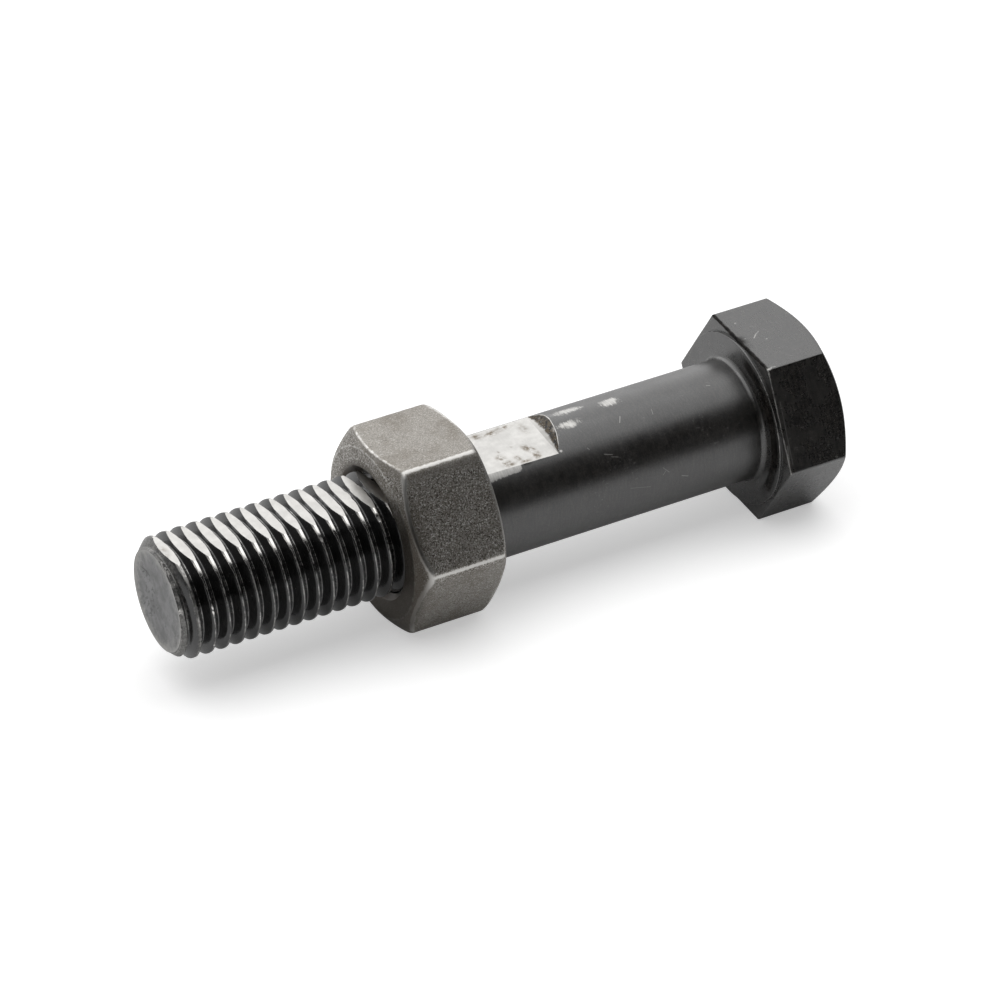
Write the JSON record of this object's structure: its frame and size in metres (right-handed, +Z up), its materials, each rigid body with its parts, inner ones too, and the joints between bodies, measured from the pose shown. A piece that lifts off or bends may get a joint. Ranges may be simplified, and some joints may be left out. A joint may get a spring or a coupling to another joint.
{
  "type": "hex bolt with nut",
  "caption": "Part-threaded hexagon head bolt with a long milled flat along one side and a hexagon nut run up its coarse right-hand thread, lying on its side.",
  "frame": {"origin": "centre of the bearing face under the head, on the bolt's axis", "axes": "-X along the shank towards the threaded end, +X out of the top of the head, +Z up with the bolt lying on its side"},
  "size_m": [0.114, 0.034, 0.0304],
  "materials": {
    "black_oxide_steel": "oiled black oxide, bright bare steel on the milled flat and on worn corners",
    "plain_steel": "uncoated, dull and finely speckled, bright along worn edges"
  },
  "bodies": {
    "bolt": {"bolt": "black_oxide_steel"},
    "nut": {"nut": "plain_steel"}
  },
  "joints": [
    {"name": "nut_travel", "type": "slide", "parent": "bolt", "child": "nut", "axis": [-1, 0, 0], "range_m": [0, 0.0525]}
  ]
}
